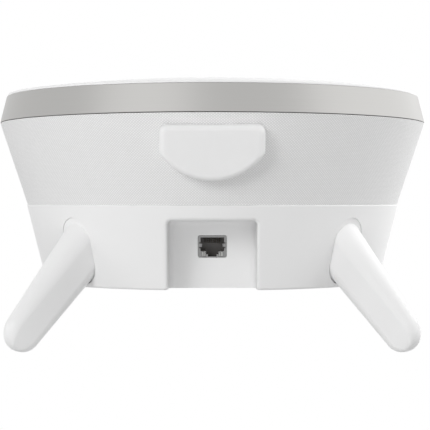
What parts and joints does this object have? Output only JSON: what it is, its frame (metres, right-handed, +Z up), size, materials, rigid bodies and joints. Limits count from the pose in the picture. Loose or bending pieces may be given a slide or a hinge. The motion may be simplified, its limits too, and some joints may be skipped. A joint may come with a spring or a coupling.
{
  "type": "mesh wifi node",
  "caption": "Round mesh wifi node that leans back on plug-in legs and a front foot, with a domed face, metal trim ring, woven sleeve and a network socket in a recess underneath.",
  "frame": {"origin": "on the floor that the node stands on, under the middle of its outline", "axes": "+Z up; -Y the way the face looks, 10 degrees up; +X to the node's left as it faces -Y"},
  "size_m": [0.2302, 0.1338, 0.2309],
  "materials": {
    "cover": "satin white",
    "ring": "satin, silver grey",
    "fabric": "fine light grey weave",
    "base": "satin off-white",
    "inner": "matt grey",
    "leg": "satin white",
    "foot": "soft off-white",
    "button": "satin grey",
    "shield": "tinned sheet",
    "black": "matt black",
    "contact": "gold plated",
    "light": "clear",
    "board": "solder mask",
    "sink": "as extruded",
    "pad": "soft",
    "ferrite": "matt",
    "capacitor": "sleeved",
    "antenna": "tinned sheet",
    "cable": "smooth jacket",
    "screw": "zinc plated"
  },
  "bodies": {
    "body": {"antenna_1": "antenna", "antenna_2": "antenna", "antenna_3": "antenna", "antenna_4": "antenna", "antenna_cable_1": "cable", "antenna_cable_2": "cable", "antenna_cable_3": "cable", "antenna_cable_4": "cable", "antenna_frame": "inner", "base_shell": "base", "board_screw_1": "screw", "board_screw_2": "screw", "board_screw_3": "screw", "board_screw_4": "screw", "cover_screw_1": "screw", "cover_screw_2": "screw", "cover_screw_3": "screw", "cover_screw_4": "screw", "fabric_sleeve": "fabric", "foot_screw_left": "screw", "foot_screw_right": "screw", "frame_screw_1": "screw", "frame_screw_2": "screw", "frame_screw_3": "screw", "frame_screw_4": "screw", "front_cover": "cover", "front_foot": "foot", "heat_sink": "sink", "jack_contact_1": "contact", "jack_contact_2": "contact", "jack_contact_3": "contact", "jack_contact_4": "contact", "jack_contact_5": "contact", "jack_contact_6": "contact", "jack_contact_7": "contact", "jack_contact_8": "contact", "jack_insert": "black", "jack_light_left": "light", "jack_light_right": "light", "jack_shield": "shield", "light_board": "board", "main_board": "board", "memory_chip_left": "black", "memory_chip_right": "black", "pair_switch": "black", "power_capacitor": "capacitor", "power_transformer": "ferrite", "processor": "black", "radio_can_left": "shield", "radio_can_right": "shield", "rear_cover": "base", "status_lens": "light", "thermal_pad": "pad", "trim_ring": "ring", "upper_shell": "inner"},
    "leg_left": {"leg_left": "leg"},
    "leg_right": {"leg_right": "leg"},
    "pair_button": {"pair_button": "button"}
  },
  "joints": [
    {"name": "leg_left_slide", "type": "slide", "parent": "body", "child": "leg_left", "axis": [-0.7071, -0.1228, -0.6964], "range_m": [0, 0.016]},
    {"name": "leg_right_slide", "type": "slide", "parent": "body", "child": "leg_right", "axis": [0.7071, -0.1228, -0.6964], "range_m": [0, 0.016]},
    {"name": "pair_button_press", "type": "slide", "parent": "body", "child": "pair_button", "axis": [0, -0.9848, 0.1736], "range_m": [0, 0.001], "stiffness_N_per_m": 1200}
  ]
}
